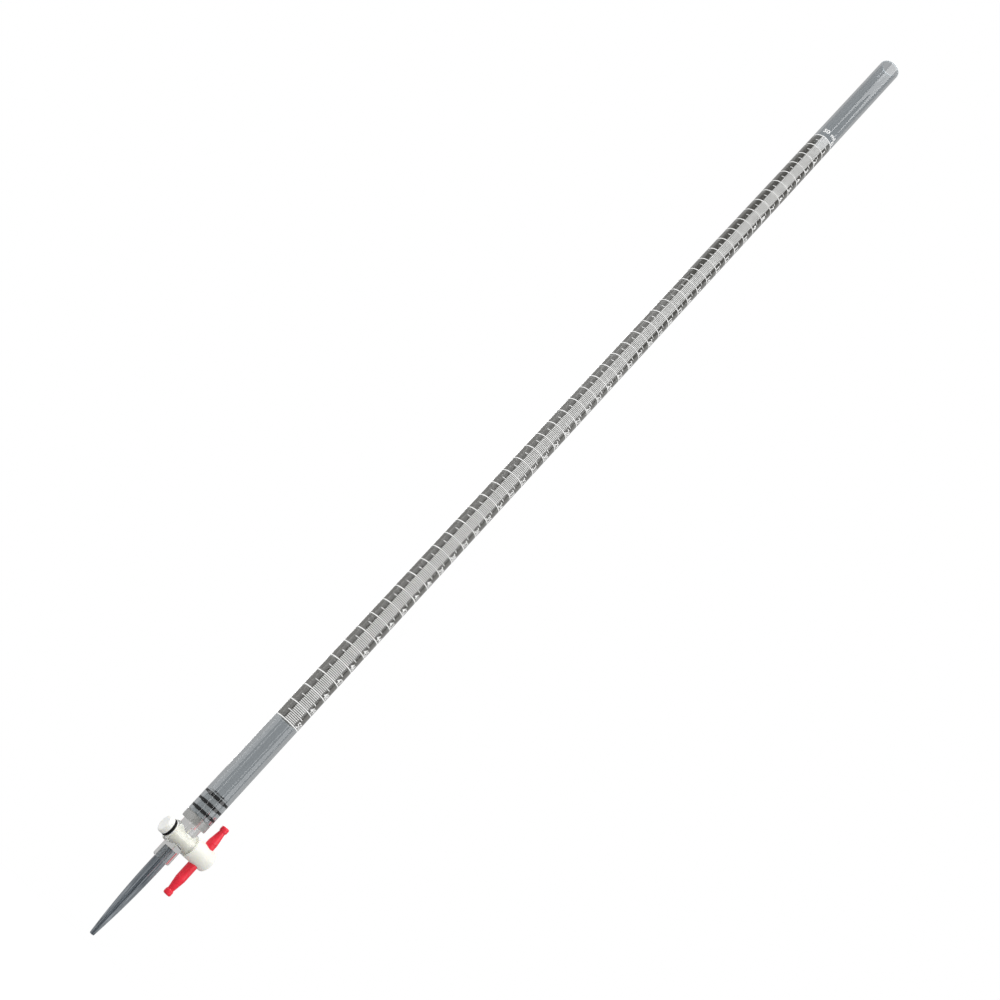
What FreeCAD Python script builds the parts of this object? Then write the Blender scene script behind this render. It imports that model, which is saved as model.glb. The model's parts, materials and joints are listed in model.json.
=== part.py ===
import FreeCAD, Part
import math
import os

# A 50 ml burette with a straight tube, a three-ring push-in stopcock and a tapered drip tip.
#
# Frame: millimetres. The origin is the centre of the drip tip's outlet, +Z runs up the tube to its
# open mouth, and +X runs along the stopcock plug towards the handle. The tap is stored open.

# Measuring tube
TUBE_R = 7.5
BORE_R = 5.5
TUBE_FOOT_Z = 72.9
MOUTH_Z = 750.0
RIM_ROUND = 0.8
SEAT_R = 5.7
SEAT_DEPTH = 16.0

# Stopcock body, from the top down
SEAM = 0.1
SPIGOT_R = 5.4
SPIGOT_TOP_Z = 87.4
FLANGE_BOTTOM_Z = 68.3
NECK_R = 5.65
PLUG_Z = 59.8
BARREL_R = 5.9
BARREL_HALF = 7.1
SOCKET_R = 5.1
SOCKET_BOTTOM_Z = 45.7
SOCKET_TOP_Z = 53.0
UPPER_CHANNEL_R = 2.0
UPPER_CHANNEL_BOTTOM_Z = 66.6
FLOW_R = 0.9

# O-rings on the spigot
SPIGOT_CORD_R = 0.85
SEAT_SQUEEZE_GAP = 0.05
RING_GROOVE_FLOOR_R = 3.9
RING_GROOVE_HALF = 1.05
RING_Z = {"lower": 75.8, "middle": 80.5, "upper": 85.2}

# Plug: tapered key, stem and head on one axis
KEY_MID_R = 3.3
KEY_TAPER = 0.025
KEY_CLEARANCE = 0.03
KEY_SMALL_END_X = -6.8
STEM_R = 2.3
STEM_END_X = -11.8
HEAD_START_X = 7.45
HEAD_END_X = 21.4
HEAD_R = 5.9
HANDLE_X = 15.8
RUNNING_CLEARANCE = 0.05

# Tension parts on the stem
WASHER_START_X = -7.15
WASHER_THICKNESS = 0.55
TENSION_R = 4.8
TENSION_CORD_R = 0.85
FACE_GAP = 0.05
NUT_LENGTH = 3.0
NUT_R = 4.7
NUT_WEB = 0.5
NUT_DOME = 1.1
NUT_FLUTES = 18
FLUTE_R = 0.3

# Handle bar
BAR_R = 2.85
BAR_HALF = 21.35
BAR_OFFSET_Z = -3.1
BAR_STRAIGHT_HALF = 11.6
BAR_NECK_Z = 18.1
BAR_NECK_R = 1.8
BEAD_R = 2.25
BEAD_START_Z = 18.8
BEAD_ROUND = 0.9

# Drip tip
TIP_R = 3.65
TIP_END_R = 1.25
TIP_END_ROUND = 0.4
TIP_TAPER_TOP_Z = 43.0
TIP_TOP_Z = 52.8
TIP_BORE_R = 0.8
OUTLET_R = 0.45
OUTLET_LENGTH = 4.0
TIP_BORE_TAPER_TOP_Z = 12.0
TIP_ENTRY_R = 1.6
TIP_ENTRY_DEPTH = 2.0

X_AXIS = FreeCAD.Vector(1, 0, 0)
Z_AXIS = FreeCAD.Vector(0, 0, 1)


def upright(radius, bottom, top, x=0.0):
    """A cylinder along Z from bottom to top, centred on x."""
    return Part.makeCylinder(radius, top - bottom, FreeCAD.Vector(x, 0, bottom), Z_AXIS)


def along_plug(radius, start, end):
    """A cylinder on the plug axis from x = start to x = end."""
    base = FreeCAD.Vector(start, 0, PLUG_Z)
    return Part.makeCylinder(radius, end - start, base, X_AXIS)


def plug_cone(start, end, clearance=0.0):
    """The key's taper between two places on the plug axis, grown by a clearance."""
    base = FreeCAD.Vector(start, 0, PLUG_Z)
    r_start = key_radius(start) + clearance
    r_end = key_radius(end) + clearance
    return Part.makeCone(r_start, r_end, end - start, base, X_AXIS)


def key_radius(x):
    return KEY_MID_R + KEY_TAPER * x


def circles_at(shape, axis, place, radius):
    """The shape's circular edges of one radius that lie at one place along an axis."""
    found = []
    for edge in shape.Edges:
        curve = edge.Curve
        if not isinstance(curve, Part.Circle):
            continue
        if abs(curve.Radius - radius) > 1e-6:
            continue
        if abs(curve.Center.dot(axis) - place) < 1e-6:
            found.append(edge)
    return found


def rounded(shape, size, axis, place, radius):
    return shape.makeFillet(size, circles_at(shape, axis, place, radius))


def chamfered(shape, size, axis, place, radius):
    return shape.makeChamfer(size, circles_at(shape, axis, place, radius))


def spun(points, x=0.0, z=0.0):
    """Revolves an outline of (radius, height) points about a vertical axis."""
    corners = [FreeCAD.Vector(r, 0, h) for r, h in points]
    face = Part.Face(Part.makePolygon(corners + corners[:1]))
    solid = face.revolve(FreeCAD.Vector(0, 0, 0), Z_AXIS, 360)
    solid.translate(FreeCAD.Vector(x, 0, z))
    return solid


def graduated_tube():
    """Thick-walled tube with a counterbored foot and a polished, rounded mouth."""
    wall = upright(TUBE_R, TUBE_FOOT_Z, MOUTH_Z)
    wall = wall.cut(upright(BORE_R, TUBE_FOOT_Z, MOUTH_Z))
    wall = rounded(wall, RIM_ROUND, Z_AXIS, MOUTH_Z, TUBE_R)
    wall = rounded(wall, RIM_ROUND, Z_AXIS, MOUTH_Z, BORE_R)
    wall = wall.cut(upright(SEAT_R, TUBE_FOOT_Z, TUBE_FOOT_Z + SEAT_DEPTH))
    wall = chamfered(wall, 0.3, Z_AXIS, TUBE_FOOT_Z, SEAT_R)
    return chamfered(wall, 0.25, Z_AXIS, TUBE_FOOT_Z, TUBE_R)


def ring_groove(z):
    ring = upright(SPIGOT_R + 1.0, z - RING_GROOVE_HALF, z + RING_GROOVE_HALF)
    return ring.cut(upright(RING_GROOVE_FLOOR_R, z - RING_GROOVE_HALF, z + RING_GROOVE_HALF))


def spigot():
    """The grooved stem that plugs into the tube's foot."""
    stem = upright(SPIGOT_R, FLANGE_BOTTOM_Z, SPIGOT_TOP_Z)
    stem = chamfered(stem, 0.5, Z_AXIS, SPIGOT_TOP_Z, SPIGOT_R)
    for z in RING_Z.values():
        stem = stem.cut(ring_groove(z))
    return stem


def flange():
    top = TUBE_FOOT_Z - SEAM
    disc = upright(TUBE_R, FLANGE_BOTTOM_Z, top)
    disc = chamfered(disc, 0.25, Z_AXIS, top, TUBE_R)
    return rounded(disc, 0.7, Z_AXIS, FLANGE_BOTTOM_Z, TUBE_R)


def barrel():
    """The cross tube that holds the plug."""
    drum = along_plug(BARREL_R, -BARREL_HALF, BARREL_HALF)
    drum = rounded(drum, 0.5, X_AXIS, -BARREL_HALF, BARREL_R)
    return rounded(drum, 0.5, X_AXIS, BARREL_HALF, BARREL_R)


def outlet_socket():
    cup = upright(SOCKET_R, SOCKET_BOTTOM_Z, PLUG_Z)
    return rounded(cup, 1.0, Z_AXIS, SOCKET_BOTTOM_Z, SOCKET_R)


def stopcock_body():
    """Spigot, flange, neck, barrel and outlet socket in one clear moulding."""
    neck = upright(NECK_R, PLUG_Z, FLANGE_BOTTOM_Z + 1.0)
    body = barrel().fuse([neck, flange(), spigot(), outlet_socket()]).removeSplitter()
    key_bore = plug_cone(-BARREL_HALF - 1.0, BARREL_HALF + 1.0, KEY_CLEARANCE)
    wide_channel = upright(UPPER_CHANNEL_R, UPPER_CHANNEL_BOTTOM_Z, SPIGOT_TOP_Z)
    flow = upright(FLOW_R, SOCKET_TOP_Z - 0.5, UPPER_CHANNEL_BOTTOM_Z + 0.5)
    tip_hole_r = TIP_R + RUNNING_CLEARANCE
    tip_hole = upright(tip_hole_r, SOCKET_BOTTOM_Z, SOCKET_TOP_Z)
    body = body.cut(wide_channel).cut(flow).cut(tip_hole).cut(key_bore)
    return chamfered(body, 0.3, Z_AXIS, SOCKET_BOTTOM_Z, tip_hole_r)


def spigot_o_ring(z):
    ring_r = SEAT_R - SEAT_SQUEEZE_GAP - SPIGOT_CORD_R
    return Part.makeTorus(ring_r, SPIGOT_CORD_R, FreeCAD.Vector(0, 0, z), Z_AXIS)


def plug_head():
    """The round head with the handle bar's cross hole."""
    head = along_plug(HEAD_R, HEAD_START_X, HEAD_END_X)
    head = rounded(head, 0.4, X_AXIS, HEAD_START_X, HEAD_R)
    head = rounded(head, 1.2, X_AXIS, HEAD_END_X, HEAD_R)
    reach = HEAD_R + 1.0
    hole_r = BAR_R + RUNNING_CLEARANCE
    return head.cut(upright(hole_r, PLUG_Z - reach, PLUG_Z + reach, HANDLE_X))


def stopcock_plug():
    """Tapered key with its flow bore, the stem for the nut, and the head."""
    key = plug_cone(KEY_SMALL_END_X, BARREL_HALF)
    shoulder = along_plug(key_radius(BARREL_HALF), BARREL_HALF, HEAD_START_X + 1.0)
    stem = along_plug(STEM_R, STEM_END_X, KEY_SMALL_END_X + 1.0)
    stem = chamfered(stem, 0.4, X_AXIS, STEM_END_X, STEM_R)
    plug = key.fuse([shoulder, stem, plug_head()]).removeSplitter()
    reach = KEY_MID_R + 1.0
    return plug.cut(upright(FLOW_R, PLUG_Z - reach, PLUG_Z + reach))


def stem_hole(start, end):
    return along_plug(STEM_R + RUNNING_CLEARANCE, start, end)


def tension_washer():
    far = WASHER_START_X - WASHER_THICKNESS
    disc = along_plug(TENSION_R, far, WASHER_START_X)
    disc = disc.cut(stem_hole(far - 1.0, WASHER_START_X + 1.0))
    return chamfered(disc, 0.15, X_AXIS, far, TENSION_R)


def tension_o_ring():
    x = WASHER_START_X - WASHER_THICKNESS - FACE_GAP - TENSION_CORD_R
    centre = FreeCAD.Vector(x, 0, PLUG_Z)
    return Part.makeTorus(TENSION_R - TENSION_CORD_R, TENSION_CORD_R, centre, X_AXIS)


def grip_flute(angle, far, near):
    """One shallow groove along the nut's rim."""
    y = NUT_R * math.cos(angle)
    z = PLUG_Z + NUT_R * math.sin(angle)
    return Part.makeCylinder(FLUTE_R, near - far, FreeCAD.Vector(far, y, z), X_AXIS)


def tension_nut():
    """Domed cap nut with a finely fluted rim."""
    near = WASHER_START_X - WASHER_THICKNESS - 2 * FACE_GAP - 2 * TENSION_CORD_R
    far = near - NUT_LENGTH
    cap = along_plug(NUT_R, far, near)
    cap = rounded(cap, NUT_DOME, X_AXIS, far, NUT_R)
    cap = rounded(cap, 0.3, X_AXIS, near, NUT_R)
    flutes = [
        grip_flute(2 * math.pi * i / NUT_FLUTES, far - 1.0, near - 0.8)
        for i in range(NUT_FLUTES)
    ]
    return cap.cut(flutes).cut(stem_hole(far + NUT_WEB, near + 1.0))


def handle_bar():
    """Straight bar that tapers to a neck and ends in a rounded bead each way."""
    upper = [
        (BAR_R, BAR_STRAIGHT_HALF),
        (BAR_NECK_R, BAR_NECK_Z),
        (BEAD_R, BEAD_START_Z),
        (BEAD_R, BAR_HALF),
        (0.0, BAR_HALF),
    ]
    lower = [(r, -z) for r, z in reversed(upper)]
    bar = spun(upper + lower, HANDLE_X, PLUG_Z + BAR_OFFSET_Z)
    for side in (-1, 1):
        middle = PLUG_Z + BAR_OFFSET_Z
        bar = rounded(bar, BEAD_ROUND, Z_AXIS, middle + side * BAR_HALF, BEAD_R)
        bar = rounded(bar, 4.0, Z_AXIS, middle + side * BAR_STRAIGHT_HALF, BAR_R)
    return bar


def tip_outside():
    """Straight shank and an ogive that is tangent to it, revolved."""
    drop = TIP_R - TIP_END_R
    arc_r = (TIP_TAPER_TOP_Z**2 + drop**2) / (2 * drop)
    half_turn = math.asin(TIP_TAPER_TOP_Z / arc_r) / 2
    arc_middle = FreeCAD.Vector(
        TIP_R - arc_r * (1 - math.cos(half_turn)),
        0,
        TIP_TAPER_TOP_Z - arc_r * math.sin(half_turn),
    )
    foot = FreeCAD.Vector(TIP_END_R, 0, 0)
    shoulder = FreeCAD.Vector(TIP_R, 0, TIP_TAPER_TOP_Z)
    top = FreeCAD.Vector(TIP_R, 0, TIP_TOP_Z)
    edges = [
        Part.makeLine(FreeCAD.Vector(0, 0, 0), foot),
        Part.Arc(foot, arc_middle, shoulder).toShape(),
        Part.makeLine(shoulder, top),
        Part.makeLine(top, FreeCAD.Vector(0, 0, TIP_TOP_Z)),
        Part.makeLine(FreeCAD.Vector(0, 0, TIP_TOP_Z), FreeCAD.Vector(0, 0, 0)),
    ]
    face = Part.Face(Part.Wire(edges))
    return face.revolve(FreeCAD.Vector(0, 0, 0), Z_AXIS, 360)


def capillary():
    """The tip's bore, from its funnel entry down to the fine outlet."""
    return spun(
        [
            (0.0, -1.0),
            (OUTLET_R, -1.0),
            (OUTLET_R, OUTLET_LENGTH),
            (TIP_BORE_R, TIP_BORE_TAPER_TOP_Z),
            (TIP_BORE_R, TIP_TOP_Z - TIP_ENTRY_DEPTH),
            (TIP_ENTRY_R, TIP_TOP_Z),
            (TIP_ENTRY_R, TIP_TOP_Z + 1.0),
            (0.0, TIP_TOP_Z + 1.0),
        ]
    )


def drip_tip():
    tip = rounded(tip_outside(), TIP_END_ROUND, Z_AXIS, 0.0, TIP_END_R)
    tip = chamfered(tip, 0.5, Z_AXIS, TIP_TOP_Z, TIP_R)
    return tip.cut(capillary())


nodes = {
    "graduated_tube": graduated_tube(),
    "stopcock_body": stopcock_body(),
    "stopcock_plug": stopcock_plug(),
    "tension_washer": tension_washer(),
    "tension_o_ring": tension_o_ring(),
    "tension_nut": tension_nut(),
    "handle_bar": handle_bar(),
    "drip_tip": drip_tip(),
}
for place, height in RING_Z.items():
    nodes[f"spigot_o_ring_{place}"] = spigot_o_ring(height)

os.makedirs("parts", exist_ok=True)
for name, shape in nodes.items():
    shape.exportStep(f"parts/{name}.step")
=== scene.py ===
import json
import math

import bmesh
import bpy
from mathutils import Matrix, Vector


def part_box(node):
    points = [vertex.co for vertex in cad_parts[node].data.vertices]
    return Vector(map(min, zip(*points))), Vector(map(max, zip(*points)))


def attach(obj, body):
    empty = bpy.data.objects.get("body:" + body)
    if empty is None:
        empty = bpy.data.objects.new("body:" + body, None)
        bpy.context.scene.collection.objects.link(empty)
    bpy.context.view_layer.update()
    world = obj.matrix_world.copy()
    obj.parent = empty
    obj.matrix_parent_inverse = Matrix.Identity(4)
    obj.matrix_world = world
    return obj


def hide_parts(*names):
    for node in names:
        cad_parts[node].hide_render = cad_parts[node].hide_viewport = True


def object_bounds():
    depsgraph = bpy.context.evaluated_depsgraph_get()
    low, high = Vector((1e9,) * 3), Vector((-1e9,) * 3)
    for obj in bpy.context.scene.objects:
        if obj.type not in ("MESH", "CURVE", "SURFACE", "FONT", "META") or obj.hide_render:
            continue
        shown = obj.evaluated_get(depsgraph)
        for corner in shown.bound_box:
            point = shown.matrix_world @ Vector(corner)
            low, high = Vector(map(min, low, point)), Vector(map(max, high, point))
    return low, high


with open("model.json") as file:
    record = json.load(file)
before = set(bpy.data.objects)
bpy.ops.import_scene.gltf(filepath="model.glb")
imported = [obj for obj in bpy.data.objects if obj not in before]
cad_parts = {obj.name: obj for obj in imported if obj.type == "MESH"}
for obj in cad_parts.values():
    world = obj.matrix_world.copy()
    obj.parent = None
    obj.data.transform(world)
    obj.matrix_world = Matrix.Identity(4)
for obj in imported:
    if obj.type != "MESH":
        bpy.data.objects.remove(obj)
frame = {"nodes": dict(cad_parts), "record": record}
cad_low, cad_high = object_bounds()
nodes = frame["nodes"]
mounts = {m["name"]: m for m in frame["record"]["mounts"]}

MM = 0.001

# Camera beside the tube: at azimuth 0 it looks along +Y
CAMERA_AZIMUTH = math.radians(-27.0)
CAMERA_DISTANCE = 0.650
CAMERA_HEIGHT = 0.065
CAMERA_TILT = math.radians(20.7)
CAMERA_YAW = math.radians(0.3)
CAMERA_ROLL = math.radians(42.6)
CAMERA_LENS = 43.2

# Measuring tube, from the CAD box and the mounts
tube_low, tube_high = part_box("graduated_tube")
TUBE_R = mounts["clamp_grip"]["dims"]["r_mm"] * MM
BORE_R = mounts["mouth"]["dims"]["r_mm"] * MM
RIM_ROUND = 0.8 * MM
SEAT_R = 5.7 * MM
SEAT_DEPTH = 16.0 * MM
FOOT_CHAMFER = 0.3 * MM

# Squeezed spigot O-rings, which press just into the seat wall
SEAL_PRESS = 0.03 * MM
SEAL_HALF = 0.86 * MM
SEAL_FACE_HALF = 0.55 * MM
SEAL_INNER_R = 3.95 * MM

# The stopcock body's flange has a matte rim from here up to the tube's foot, painted grey in place of the
# shade where light refracts through it
FLANGE_BOTTOM_Z = 68.3 * MM

# Plug: its PTFE key beds into the barrel's bore, past the CAD key's clearance
plug_low, plug_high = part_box("stopcock_plug")
PLUG_Z = (plug_low.z + plug_high.z) / 2
KEY_PRESS = 0.05 * MM
KEY_MID_R = 3.3 * MM
KEY_TAPER = 0.025
KEY_SMALL_END_X = -6.8 * MM
KEY_LARGE_END_X = 7.0 * MM
STEM_R = 2.3 * MM
HEAD_START_X = 7.45 * MM
HEAD_R = (plug_high.z - plug_low.z) / 2
STEM_CHAMFER = 0.4 * MM
KEY_CHAMFER = 0.2 * MM
HEAD_INNER_ROUND = 0.4 * MM
HEAD_OUTER_ROUND = 1.2 * MM
HANDLE_X = 15.8 * MM
BAR_HOLE_R = 2.9 * MM
FLOW_R = 0.9 * MM
CUTTER_MARGIN = 1.0 * MM

# Printed scale; azimuths round the tube grow to the right as seen from outside
CAPACITY = 50
FULL_MARK_Z = 136.9 * MM
ZERO_MARK_Z = 659.7 * MM
SCALE_CENTRE = math.radians(-22.0)
RING_HEIGHT = 0.58 * MM
MARK_HEIGHT = 0.38 * MM
HALF_MARK_SPAN = math.radians(42.5)
TENTH_MARK_SPAN = math.radians(25.0)
INK_PROUD = 0.03 * MM
INK_DEPTH = 0.03 * MM
NUMERAL_HEIGHT = 3.4 * MM
NUMERAL_PITCH = 2.35 * MM
NUMERAL_START = math.radians(33.0)
NUMERAL_LIFT = 0.55 * MM
STROKE_BOLD = 0.012
GLYPH_STRIPS = 12
BAND_STEP = math.radians(3.75)
CAPACITY_START = math.radians(-67.0)
CAPACITY_LIFT = 3.8 * MM

# Floor, low enough for the stopcock and its tip to be pulled out above it
FLOOR_DROP = 30.0 * MM
FLOOR_FADE = (0.02, 0.25)

# Soft lamps round the tube: name, azimuth, elevation, distance, size and watts
LAMP_AIM_Z = 0.25
LAMPS = (
    ("key", -100, 20, 1.6, (1.3, 1.4), 13),
    ("fill", 35, 15, 1.8, (1.1, 1.4), 13),
    ("left_strip", -57, 20, 1.7, (0.2, 1.7), 3),
    ("right_strip", 1, 20, 1.7, (0.2, 1.7), 3),
    ("top", 0, 80, 1.6, (1.2, 1.2), 15),
    ("rim", 160, 20, 1.8, (0.5, 1.4), 10),
)

# Width of the change from one finish to the next, in height and in the cosine of an azimuth
HEIGHT_BLUR = 0.05 * MM
FACING_BLUR = 0.02

# Plain grey that every other ray meets where the camera sees white
ROOM_GREY = 0.5


# Small mesh tools


def mesh_object(name, bm, material, sharp_angle=30.0):
    """Turns a bmesh into a smooth-shaded object with one material."""
    bmesh.ops.recalc_face_normals(bm, faces=bm.faces)
    mesh = bpy.data.meshes.new(name)
    bm.to_mesh(mesh)
    bm.free()
    if material:
        mesh.materials.append(material)
    for polygon in mesh.polygons:
        polygon.use_smooth = True
    mesh.set_sharp_from_angle(angle=math.radians(sharp_angle))
    piece = bpy.data.objects.new(name, mesh)
    bpy.context.scene.collection.objects.link(piece)
    return piece


def arc(centre_r, centre_z, radius, start, end, steps):
    """Points of a round stretch in a lathe outline, angles in degrees."""
    points = []
    for i in range(steps + 1):
        angle = math.radians(start + (end - start) * i / steps)
        points.append((centre_r + radius * math.cos(angle), centre_z + radius * math.sin(angle)))
    return points


def lathe(bm, outline, segments):
    """Revolves a closed (radius, height) outline about Z; points on the axis join up."""
    rings = []
    for i in range(segments):
        angle = 2 * math.pi * i / segments
        c, s = math.cos(angle), math.sin(angle)
        rings.append([bm.verts.new((r * c, r * s, z)) for r, z in outline])
    count = len(outline)
    for i in range(segments):
        here, there = rings[i], rings[(i + 1) % segments]
        for j in range(count):
            k = (j + 1) % count
            bm.faces.new((here[j], there[j], there[k], here[k]))
    bmesh.ops.remove_doubles(bm, verts=bm.verts, dist=1e-8)


def cut_away(piece, cutter):
    """Subtracts one object from another for good and drops the cutter."""
    boolean = piece.modifiers.new("cut", "BOOLEAN")
    boolean.operation = "DIFFERENCE"
    boolean.solver = "EXACT"
    boolean.object = cutter
    graph = bpy.context.evaluated_depsgraph_get()
    mesh = bpy.data.meshes.new_from_object(piece.evaluated_get(graph))
    piece.modifiers.clear()
    piece.data = mesh
    mesh.set_sharp_from_angle(angle=math.radians(30.0))
    bpy.data.objects.remove(cutter)


def on_tube(azimuth, radius, z):
    """A point round the tube: azimuth 0 faces -Y and grows to the right."""
    return Vector((radius * math.sin(azimuth), -radius * math.cos(azimuth), z))


# Materials


def ranged(tree, value, start, end):
    """A value mapped from one pair of numbers to another."""
    node = tree.nodes.new("ShaderNodeMapRange")
    node.inputs["From Min"].default_value, node.inputs["From Max"].default_value = start
    node.inputs["To Min"].default_value, node.inputs["To Max"].default_value = end
    tree.links.new(value, node.inputs["Value"])
    return node.outputs["Result"]


class Nodes:
    """A new material with a Principled shader and short ways to add nodes."""

    def __init__(self, name):
        self.material = bpy.data.materials.new(name)
        self.material.use_nodes = True
        self.tree = self.material.node_tree
        self.shader = self.tree.nodes["Principled BSDF"]
        self.place = self.tree.nodes.new("ShaderNodeTexCoord").outputs["Object"]

    def set(self, **values):
        for name, value in values.items():
            self.shader.inputs[name.replace("_", " ")].default_value = value

    def link(self, source, target):
        self.tree.links.new(source, target)

    def stretched(self, scale):
        mapping = self.tree.nodes.new("ShaderNodeMapping")
        mapping.inputs["Scale"].default_value = scale
        self.link(self.place, mapping.inputs["Vector"])
        return mapping.outputs["Vector"]

    def noise(self, scale, detail=3.0, stretch=(1, 1, 1)):
        node = self.tree.nodes.new("ShaderNodeTexNoise")
        node.inputs["Scale"].default_value = scale
        node.inputs["Detail"].default_value = detail
        self.link(self.stretched(stretch), node.inputs["Vector"])
        return node.outputs["Fac"]

    def between(self, factor, low, high):
        """A number that follows a noise from low to high."""
        return ranged(self.tree, factor, (0.3, 0.7), (low, high))

    def ramp(self, factor, stops):
        node = self.tree.nodes.new("ShaderNodeValToRGB")
        elements = node.color_ramp.elements
        elements[0].position, elements[0].color = stops[0][0], (*stops[0][1], 1)
        elements[1].position, elements[1].color = stops[-1][0], (*stops[-1][1], 1)
        for position, colour in stops[1:-1]:
            elements.new(position).color = (*colour, 1)
        self.link(factor, node.inputs["Fac"])
        return node.outputs["Color"]

    def bump(self, height, strength, distance):
        node = self.tree.nodes.new("ShaderNodeBump")
        node.inputs["Strength"].default_value = strength
        node.inputs["Distance"].default_value = distance
        self.link(height, node.inputs["Height"])
        self.link(node.outputs["Normal"], self.shader.inputs["Normal"])

    def height_step(self, z, low, high):
        """A number that changes from low to high at one height of the object."""
        split = self.tree.nodes.new("ShaderNodeSeparateXYZ")
        self.link(self.place, split.inputs[0])
        span = (z - HEIGHT_BLUR, z + HEIGHT_BLUR)
        return ranged(self.tree, split.outputs["Z"], span, (low, high))

    def vector_math(self, operation, source, other=None):
        node = self.tree.nodes.new("ShaderNodeVectorMath")
        node.operation = operation
        self.link(source, node.inputs[0])
        if other is not None:
            node.inputs[1].default_value = other
        return node

    def facing_step(self, azimuth, half_span):
        """One within a half span of an azimuth round the tube, else zero."""
        flat = self.vector_math("MULTIPLY", self.place, (1, 1, 0))
        unit = self.vector_math("NORMALIZE", flat.outputs["Vector"])
        dot = self.vector_math("DOT_PRODUCT", unit.outputs["Vector"], on_tube(azimuth, 1.0, 0.0))
        edge = math.cos(half_span)
        span = (edge - FACING_BLUR, edge + FACING_BLUR)
        return ranged(self.tree, dot.outputs["Value"], span, (0.0, 1.0))

    def blend(self, factor, first, second):
        node = self.tree.nodes.new("ShaderNodeMix")
        node.data_type = "RGBA"
        self.link(factor, node.inputs["Factor"])
        self.link(first, node.inputs["A"])
        self.link(second, node.inputs["B"])
        return node.outputs["Result"]

    def multiply(self, first, second):
        node = self.tree.nodes.new("ShaderNodeMath")
        node.operation = "MULTIPLY"
        self.link(first, node.inputs[0])
        self.link(second, node.inputs[1])
        return node.outputs[0]

    def let_lamps_through(self, tint):
        """Lamp light reaches what stands behind or inside the clear wall."""
        path = self.tree.nodes.new("ShaderNodeLightPath")
        clear = self.tree.nodes.new("ShaderNodeBsdfTransparent")
        clear.inputs["Color"].default_value = (*tint, 1)
        mix = self.tree.nodes.new("ShaderNodeMixShader")
        self.link(path.outputs["Is Shadow Ray"], mix.inputs["Fac"])
        self.link(self.shader.outputs[0], mix.inputs[1])
        self.link(clear.outputs[0], mix.inputs[2])
        self.link(mix.outputs[0], self.tree.nodes["Material Output"].inputs["Surface"])


def clear_tube_material():
    """Grey-cast clear acrylic: painted shade darkens the wall round the scale, away from its marks, in
    place of a dark surrounding seen through it; milky behind its marks, frosted at the mouth.
    """
    m = Nodes("clear_tube")
    m.set(IOR=1.49, Transmission_Weight=1.0)
    lines = m.noise(900, 2.0, (1, 1, 0.01))
    cool = m.ramp(lines, [(0.3, (0.60, 0.63, 0.65)), (0.7, (0.74, 0.77, 0.79))])
    # Painted shade: round the scale, away from its marks, the wall is painted darker and warmer to stand
    # in for a dark surrounding seen through it.
    painted_shade_wall = m.ramp(lines, [(0.3, (0.27, 0.265, 0.25)), (0.7, (0.39, 0.385, 0.36))])
    milky = m.ramp(lines, [(0.3, (0.86, 0.87, 0.86)), (0.7, (0.97, 0.98, 0.97))])
    # This mix holds the painted shade beside the marks and the milky strip behind them.
    warm = m.blend(m.facing_step(SCALE_CENTRE, TENTH_MARK_SPAN), painted_shade_wall, milky)
    above = m.height_step(FULL_MARK_Z, 0.0, 1.0)
    below = m.height_step(ZERO_MARK_Z, 1.0, 0.0)
    wall = m.blend(m.multiply(above, below), cool, warm)
    rim_foot = tube_high.z - RIM_ROUND
    rim = m.height_step(rim_foot, 0.0, 1.0)
    frost = m.ramp(m.noise(1800, 3.0), [(0.3, (0.80, 0.86, 0.88)), (0.7, (0.97, 0.99, 1.0))])
    m.link(m.blend(rim, wall, frost), m.shader.inputs["Base Color"])
    m.link(m.height_step(rim_foot, 1.0, 0.25), m.shader.inputs["Transmission Weight"])
    m.link(m.between(m.noise(60, 4.0), 0.0, 0.02), m.shader.inputs["Roughness"])
    m.bump(lines, 0.005, 0.01 * MM)
    m.let_lamps_through((0.80, 0.82, 0.83))
    return m.material


def clear_moulding_material():
    """Clear injection moulding, a little milky, with a matte flange whose grey is painted shade, standing
    in for the shade where light refracts through the flange.
    """
    m = Nodes("clear_moulding")
    m.set(IOR=1.49, Transmission_Weight=1.0)
    cloud = m.noise(250, 4.0)
    clear = m.ramp(cloud, [(0.3, (0.95, 0.95, 0.94)), (0.7, (0.99, 0.99, 0.98))])
    # Painted shade: the flange's grey stands in for the shade where light refracts through it; its higher
    # roughness is a real matte finish.
    matte = m.ramp(m.noise(1200, 4.0), [(0.3, (0.48, 0.48, 0.47)), (0.7, (0.68, 0.68, 0.66))])
    above = m.height_step(FLANGE_BOTTOM_Z, 0.0, 1.0)
    below = m.height_step(tube_low.z, 1.0, 0.0)
    flange = m.multiply(above, below)
    m.link(m.blend(flange, clear, matte), m.shader.inputs["Base Color"])
    m.link(ranged(m.tree, flange, (0.0, 1.0), (0.02, 0.22)), m.shader.inputs["Roughness"])
    m.bump(m.noise(700, 2.0), 0.05, 0.02 * MM)
    m.let_lamps_through((0.97, 0.97, 0.96))
    return m.material


def tip_glass_material():
    """Drawn capillary glass with lines along the draw, and painted shade and highlight: dark and light
    streaks along the draw stand in for those seen through the thick glass.
    """
    m = Nodes("tip_glass")
    m.set(IOR=1.50, Transmission_Weight=1.0)
    lines = m.noise(1500, 2.0, (1, 1, 0.02))
    # Painted shade and highlight: the near-black and light colour streaks stand in for the dark edges and
    # light streaks seen through the thick glass; only the bump is the draw lines themselves.
    colour = m.ramp(lines, [(0.35, (0.10, 0.12, 0.14)), (0.65, (0.62, 0.67, 0.72))])
    m.link(colour, m.shader.inputs["Base Color"])
    m.link(m.between(m.noise(200, 3.0), 0.0, 0.04), m.shader.inputs["Roughness"])
    m.bump(lines, 0.25, 0.03 * MM)
    m.let_lamps_through((0.6, 0.62, 0.64))
    return m.material


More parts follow.
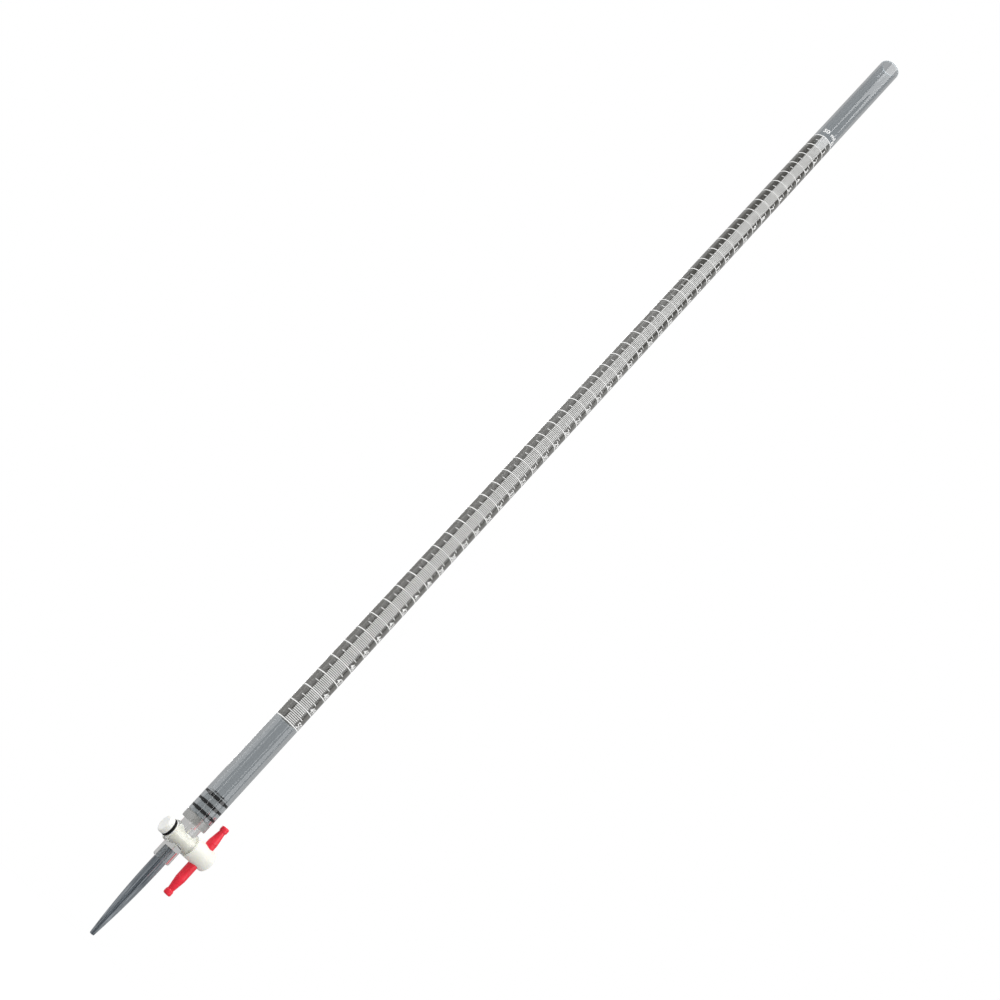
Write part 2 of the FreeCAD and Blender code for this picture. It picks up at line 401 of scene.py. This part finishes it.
def ptfe_material(name, warm, turned_axis):
    """Turned PTFE: waxy white with fine tool rings along one axis."""
    m = Nodes(name)
    m.set(Subsurface_Weight=0.25, Subsurface_Scale=2.0 * MM, IOR=1.38)
    m.set(Subsurface_Radius=(1.0, 0.9, 0.7))
    cloud = m.noise(180, 4.0)
    light = (0.93, 0.93, 0.93 - warm)
    shade = (0.86, 0.86, 0.85 - 1.3 * warm)
    m.link(m.ramp(cloud, [(0.3, shade), (0.7, light)]), m.shader.inputs["Base Color"])
    m.link(m.between(cloud, 0.38, 0.55), m.shader.inputs["Roughness"])
    stretch = tuple(1.0 if axis == turned_axis else 0.02 for axis in "XYZ")
    m.bump(m.noise(3500, 2.0, stretch), 0.2, 0.03 * MM)
    return m.material


def red_plastic_material():
    """Semi-gloss red moulding with a faint grain."""
    m = Nodes("red_plastic")
    m.set(IOR=1.5, Subsurface_Weight=0.1, Subsurface_Scale=1.0 * MM)
    m.set(Subsurface_Radius=(1.0, 0.2, 0.1))
    cloud = m.noise(220, 4.0)
    colour = m.ramp(cloud, [(0.3, (0.80, 0.010, 0.030)), (0.7, (0.97, 0.022, 0.055))])
    m.link(colour, m.shader.inputs["Base Color"])
    m.link(m.between(m.noise(500, 3.0), 0.25, 0.42), m.shader.inputs["Roughness"])
    m.bump(m.noise(1400, 3.0), 0.15, 0.04 * MM)
    return m.material


def rubber_material():
    """Black O-ring rubber with a dusty bloom."""
    m = Nodes("black_rubber")
    m.set(IOR=1.5, Specular_IOR_Level=0.12)
    bloom = m.noise(900, 4.0)
    colour = m.ramp(bloom, [(0.35, (0.003, 0.003, 0.004)), (0.75, (0.012, 0.012, 0.013))])
    m.link(colour, m.shader.inputs["Base Color"])
    m.link(m.between(bloom, 0.45, 0.7), m.shader.inputs["Roughness"])
    m.bump(m.noise(2500, 3.0), 0.2, 0.03 * MM)
    return m.material


def ink_material():
    """White screen-printed ink with slightly uneven cover."""
    m = Nodes("scale_ink")
    cover = m.noise(2500, 3.0)
    colour = m.ramp(cover, [(0.3, (0.92, 0.92, 0.91)), (0.6, (1.0, 1.0, 0.99))])
    m.link(colour, m.shader.inputs["Base Color"])
    m.link(m.between(cover, 0.5, 0.7), m.shader.inputs["Roughness"])
    m.bump(cover, 0.2, 0.01 * MM)
    return m.material


# Measuring tube and its printed scale


def measuring_tube(material):
    """The thick wall, its rounded mouth and the counterbore for the spigot."""
    foot, mouth = tube_low.z, tube_high.z
    corner = mouth - RIM_ROUND
    shoulder = foot + SEAT_DEPTH
    outline = [(SEAT_R + FOOT_CHAMFER, foot), (TUBE_R - FOOT_CHAMFER, foot), (TUBE_R, foot + FOOT_CHAMFER)]
    outline += arc(TUBE_R - RIM_ROUND, corner, RIM_ROUND, 0, 90, 10)
    outline += arc(BORE_R + RIM_ROUND, corner, RIM_ROUND, 90, 180, 10)
    outline += [(BORE_R, shoulder), (SEAT_R, shoulder), (SEAT_R, foot + FOOT_CHAMFER)]
    bm = bmesh.new()
    lathe(bm, outline, 192)
    piece = mesh_object("measuring_tube", bm, material)
    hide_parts("graduated_tube")
    return piece


def spigot_seal(name, node, material):
    """An O-ring squeezed flat between its groove and the seat wall."""
    low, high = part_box(node)
    middle = (low.z + high.z) / 2
    outer = SEAT_R + SEAL_PRESS
    corner = SEAL_HALF - SEAL_FACE_HALF
    outline = arc(outer - corner, middle + SEAL_FACE_HALF, corner, 0, 90, 8)
    outline += arc(SEAL_INNER_R + corner, middle + SEAL_FACE_HALF, corner, 90, 180, 8)
    outline += arc(SEAL_INNER_R + corner, middle - SEAL_FACE_HALF, corner, 180, 270, 8)
    outline += arc(outer - corner, middle - SEAL_FACE_HALF, corner, 270, 360, 8)
    bm = bmesh.new()
    lathe(bm, outline, 128)
    piece = mesh_object(name, bm, material)
    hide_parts(node)
    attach(piece, "spigot_seals")


def hole_pin(x, radius):
    """A cutter that stands upright across the plug."""
    reach = HEAD_R + CUTTER_MARGIN
    outline = [(0, PLUG_Z - reach), (radius, PLUG_Z - reach)]
    outline += [(radius, PLUG_Z + reach), (0, PLUG_Z + reach)]
    bm = bmesh.new()
    lathe(bm, outline, 64)
    bmesh.ops.translate(bm, verts=bm.verts, vec=(x, 0, 0))
    return mesh_object("hole_pin", bm, None)


def tap_plug(material):
    """Key, stem and round head turned in one, with the flow bore and the handle's hole."""
    small_r = KEY_MID_R + KEY_TAPER * KEY_SMALL_END_X + KEY_PRESS
    large_r = KEY_MID_R + KEY_TAPER * KEY_LARGE_END_X + KEY_PRESS
    stem_end, head_end = plug_low.x, plug_high.x
    inner_round, outer_round = HEAD_INNER_ROUND, HEAD_OUTER_ROUND
    outline = [(0, stem_end), (STEM_R - STEM_CHAMFER, stem_end), (STEM_R, stem_end + STEM_CHAMFER)]
    outline += [(STEM_R, KEY_SMALL_END_X), (small_r - KEY_CHAMFER, KEY_SMALL_END_X)]
    outline += [(small_r, KEY_SMALL_END_X + KEY_CHAMFER), (large_r, KEY_LARGE_END_X)]
    outline += [(large_r, HEAD_START_X)]
    outline += arc(HEAD_R - inner_round, HEAD_START_X + inner_round, inner_round, 270, 360, 5)
    outline += arc(HEAD_R - outer_round, head_end - outer_round, outer_round, 0, 90, 10)
    outline += [(0, head_end)]
    bm = bmesh.new()
    lathe(bm, outline, 160)
    turn = Matrix.Translation((0, 0, PLUG_Z)) @ Matrix.Rotation(math.radians(90), 4, "Y")
    bmesh.ops.transform(bm, matrix=turn, verts=bm.verts)
    piece = mesh_object("tap_plug", bm, material)
    cut_away(piece, hole_pin(HANDLE_X, BAR_HOLE_R))
    cut_away(piece, hole_pin(0.0, FLOW_R))
    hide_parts("stopcock_plug")
    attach(piece, "plug")


def ink_band(bm, start, end, low, high):
    """A closed sliver of ink that wraps the tube from one azimuth to another."""
    whole = end - start > 2 * math.pi - 1e-6
    steps = max(4, round((end - start) / BAND_STEP))
    inner, outer = TUBE_R - INK_DEPTH, TUBE_R + INK_PROUD
    sections = []
    for i in range(steps if whole else steps + 1):
        v = start + (end - start) * i / steps
        corners = ((inner, low), (outer, low), (outer, high), (inner, high))
        sections.append([bm.verts.new(on_tube(v, r, z)) for r, z in corners])
    for i in range(steps):
        here, there = sections[i], sections[(i + 1) % len(sections)]
        for j in range(4):
            k = (j + 1) % 4
            bm.faces.new((here[j], there[j], there[k], here[k]))
    if not whole:
        bm.faces.new(sections[0])
        bm.faces.new(sections[-1])


def mark_z(ml):
    """Height of a mark: readings fall from 0 near the mouth to the capacity at the foot."""
    return ZERO_MARK_Z + (FULL_MARK_Z - ZERO_MARK_Z) * ml / CAPACITY


def scale_marks(name, readings, half_span, height, material):
    """One piece that holds a band of ink for each reading."""
    bm = bmesh.new()
    for ml in readings:
        z = mark_z(ml)
        ink_band(bm, SCALE_CENTRE - half_span, SCALE_CENTRE + half_span, z - height / 2, z + height / 2)
    return mesh_object(name, bm, material)


def flat_glyph(text):
    """A closed flat solid of one character, as bmesh, scaled to the numeral height."""
    curve = bpy.data.curves.new("glyph", "FONT")
    curve.body = text
    curve.extrude = 0.5
    curve.offset = STROKE_BOLD
    curve.resolution_u = 6
    holder = bpy.data.objects.new("glyph", curve)
    bpy.context.scene.collection.objects.link(holder)
    graph = bpy.context.evaluated_depsgraph_get()
    mesh = bpy.data.meshes.new_from_object(holder.evaluated_get(graph))
    bpy.data.objects.remove(holder)
    bm = bmesh.new()
    bm.from_mesh(mesh)
    bpy.data.meshes.remove(mesh)
    bmesh.ops.remove_doubles(bm, verts=bm.verts, dist=1e-5)
    return bm


def glyph_library(characters):
    """Each character's solid with unit height for digits, cut fine enough to bend."""
    tall = flat_glyph("0")
    low = min(v.co.y for v in tall.verts)
    size = max(v.co.y for v in tall.verts) - low
    tall.free()
    library = {}
    for character in characters:
        bm = flat_glyph(character)
        left = min(v.co.x for v in bm.verts)
        width = max(v.co.x for v in bm.verts) - left
        for v in bm.verts:
            v.co = Vector(((v.co.x - left) / size, (v.co.y - low) / size, v.co.z))
        for i in range(1, GLYPH_STRIPS):
            cut = Vector((width / size * i / GLYPH_STRIPS, 0, 0))
            everything = bm.verts[:] + bm.edges[:] + bm.faces[:]
            bmesh.ops.bisect_plane(bm, geom=everything, plane_co=cut, plane_no=(1, 0, 0))
        library[character] = (bm, width / size)
    return library


def wrap_text(target, library, text, start, base_z, height):
    """Prints text round the tube, growing to the right from an azimuth."""
    pitch = NUMERAL_PITCH * height / NUMERAL_HEIGHT
    for i, character in enumerate(text):
        if character == " ":
            continue
        bm, width = library[character]
        shift = pitch * i + (pitch - width * height) / 2
        made = {}
        for v in bm.verts:
            azimuth = start + (shift + v.co.x * height) / TUBE_R
            radius = TUBE_R + (INK_PROUD if v.co.z > 0 else -INK_DEPTH)
            made[v] = target.verts.new(on_tube(azimuth, radius, base_z + v.co.y * height))
        for face in bm.faces:
            target.faces.new([made[v] for v in face.verts])


def scale_numerals(material):
    """The number over each ring, and the capacity over the 0 ring."""
    library = glyph_library("0123456789ml")
    bm = bmesh.new()
    for ml in range(CAPACITY + 1):
        start = SCALE_CENTRE + NUMERAL_START
        wrap_text(bm, library, str(ml), start, mark_z(ml) + NUMERAL_LIFT, NUMERAL_HEIGHT)
    wrap_text(bm, library, "50 ml", CAPACITY_START, ZERO_MARK_Z + CAPACITY_LIFT, NUMERAL_HEIGHT)
    for glyph, _ in library.values():
        glyph.free()
    return mesh_object("scale_numerals", bm, material)


def printed_scale(material):
    """One-millilitre rings, half and tenth marks and numerals, all ink on the tube."""
    tenths = range(1, 10 * CAPACITY)
    halves = [t / 10 for t in tenths if t % 10 == 5]
    others = [t / 10 for t in tenths if t % 5]
    return [
        scale_marks("scale_rings", range(CAPACITY + 1), math.pi, RING_HEIGHT, material),
        scale_marks("scale_half_marks", halves, HALF_MARK_SPAN, MARK_HEIGHT, material),
        scale_marks("scale_tenth_marks", others, TENTH_MARK_SPAN, MARK_HEIGHT, material),
        scale_numerals(material),
    ]


# Camera, floor and light


def camera_matrix():
    """Beside the tap, looking up the tube, rolled so that the tube climbs to the upper right."""
    a = CAMERA_AZIMUTH
    place = Vector((math.sin(a), -math.cos(a), 0)) * CAMERA_DISTANCE
    place.z = CAMERA_HEIGHT
    heading = a - CAMERA_YAW
    level = Vector((-math.sin(heading), math.cos(heading), 0))
    forward = level * math.cos(CAMERA_TILT) + Vector((0, 0, math.sin(CAMERA_TILT)))
    right = forward.cross(Vector((0, 0, 1))).normalized()
    up = right.cross(forward)
    axes = Matrix((right, up, -forward)).transposed().to_4x4()
    roll = Matrix.Rotation(CAMERA_ROLL, 4, "Z")
    return Matrix.Translation(place) @ axes @ roll


def add_camera():
    data = bpy.data.cameras.new("camera")
    data.lens = CAMERA_LENS
    data.sensor_width = 36.0
    data.clip_start = 0.01
    data.clip_end = 50.0
    camera = bpy.data.objects.new("camera", data)
    camera.matrix_world = camera_matrix()
    bpy.context.scene.collection.objects.link(camera)
    bpy.context.scene.camera = camera


def white_for_camera(tree, room, backdrop, target):
    """Shows the backdrop to the camera and the room to every other ray."""
    path = tree.nodes.new("ShaderNodeLightPath")
    mix = tree.nodes.new("ShaderNodeMixShader")
    tree.links.new(path.outputs["Is Camera Ray"], mix.inputs["Fac"])
    tree.links.new(room, mix.inputs[1])
    tree.links.new(backdrop, mix.inputs[2])
    tree.links.new(mix.outputs[0], target)


def add_floor():
    """A pale floor below the tip that fades to the backdrop's white."""
    bm = bmesh.new()
    bmesh.ops.create_circle(bm, cap_ends=True, segments=96, radius=6.0)
    m = Nodes("floor")
    m.set(Base_Color=(0.9, 0.9, 0.9, 1), Roughness=0.8, Specular_IOR_Level=0.1)
    glow = m.tree.nodes.new("ShaderNodeEmission")
    distance = m.vector_math("LENGTH", m.place)
    fade = m.tree.nodes.new("ShaderNodeMapRange")
    fade.inputs["From Min"].default_value, fade.inputs["From Max"].default_value = FLOOR_FADE
    fade.interpolation_type = "SMOOTHSTEP"
    m.link(distance.outputs["Value"], fade.inputs["Value"])
    pale = m.tree.nodes.new("ShaderNodeMixShader")
    m.link(fade.outputs["Result"], pale.inputs["Fac"])
    m.link(m.shader.outputs[0], pale.inputs[1])
    m.link(glow.outputs[0], pale.inputs[2])
    room = m.tree.nodes.new("ShaderNodeEmission")
    room.inputs["Color"].default_value = (ROOM_GREY, ROOM_GREY, ROOM_GREY, 1)
    surface = m.tree.nodes["Material Output"].inputs["Surface"]
    white_for_camera(m.tree, room.outputs[0], pale.outputs[0], surface)
    floor = mesh_object("floor", bm, m.material)
    floor.location.z = cad_low.z - FLOOR_DROP


def add_world():
    """White behind the object, and a plain grey room for all but the camera."""
    world = bpy.data.worlds.new("studio")
    bpy.context.scene.world = world
    world.use_nodes = True
    tree = world.node_tree
    backdrop = tree.nodes["Background"]
    backdrop.inputs["Color"].default_value = (1, 1, 1, 1)
    room = tree.nodes.new("ShaderNodeBackground")
    room.inputs["Color"].default_value = (ROOM_GREY, ROOM_GREY, ROOM_GREY, 1)
    surface = tree.nodes["World Output"].inputs["Surface"]
    white_for_camera(tree, room.outputs[0], backdrop.outputs[0], surface)


def add_softbox(name, azimuth, elevation, distance, size, power):
    """An area light aimed at the tube's axis, not seen through clear walls."""
    data = bpy.data.lights.new(name, "AREA")
    data.shape = "RECTANGLE"
    data.size, data.size_y = size
    data.energy = power
    light = bpy.data.objects.new(name, data)
    a, e = math.radians(azimuth), math.radians(elevation)
    back = Vector((math.sin(a) * math.cos(e), -math.cos(a) * math.cos(e), math.sin(e)))
    light.location = Vector((0, 0, LAMP_AIM_Z)) + back * distance
    light.rotation_euler = back.to_track_quat("Z", "Y").to_euler()
    light.visible_transmission = False
    bpy.context.scene.collection.objects.link(light)


# The build

tube_finish = clear_tube_material()
ink = ink_material()
tube = measuring_tube(tube_finish)
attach(tube, "tube")
for mark in printed_scale(ink):
    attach(mark, "tube")

rubber = rubber_material()
for level in ("upper", "middle", "lower"):
    spigot_seal("spigot_seal_" + level, "spigot_o_ring_" + level, rubber)
tap_plug(ptfe_material("white_ptfe", 0.06, "X"))
finishes = {
    "stopcock_body": clear_moulding_material(),
    "tension_washer": ptfe_material("washer_ptfe", 0.04, "X"),
    "tension_nut": ptfe_material("white_plastic", 0.03, "X"),
    "handle_bar": red_plastic_material(),
    "drip_tip": tip_glass_material(),
    "tension_o_ring": rubber,
}
for node, finish in finishes.items():
    nodes[node].data.materials.clear()
    nodes[node].data.materials.append(finish)

bpy.context.scene.view_settings.view_transform = "Standard"
add_camera()
add_floor()
add_world()
for lamp in LAMPS:
    add_softbox(*lamp)
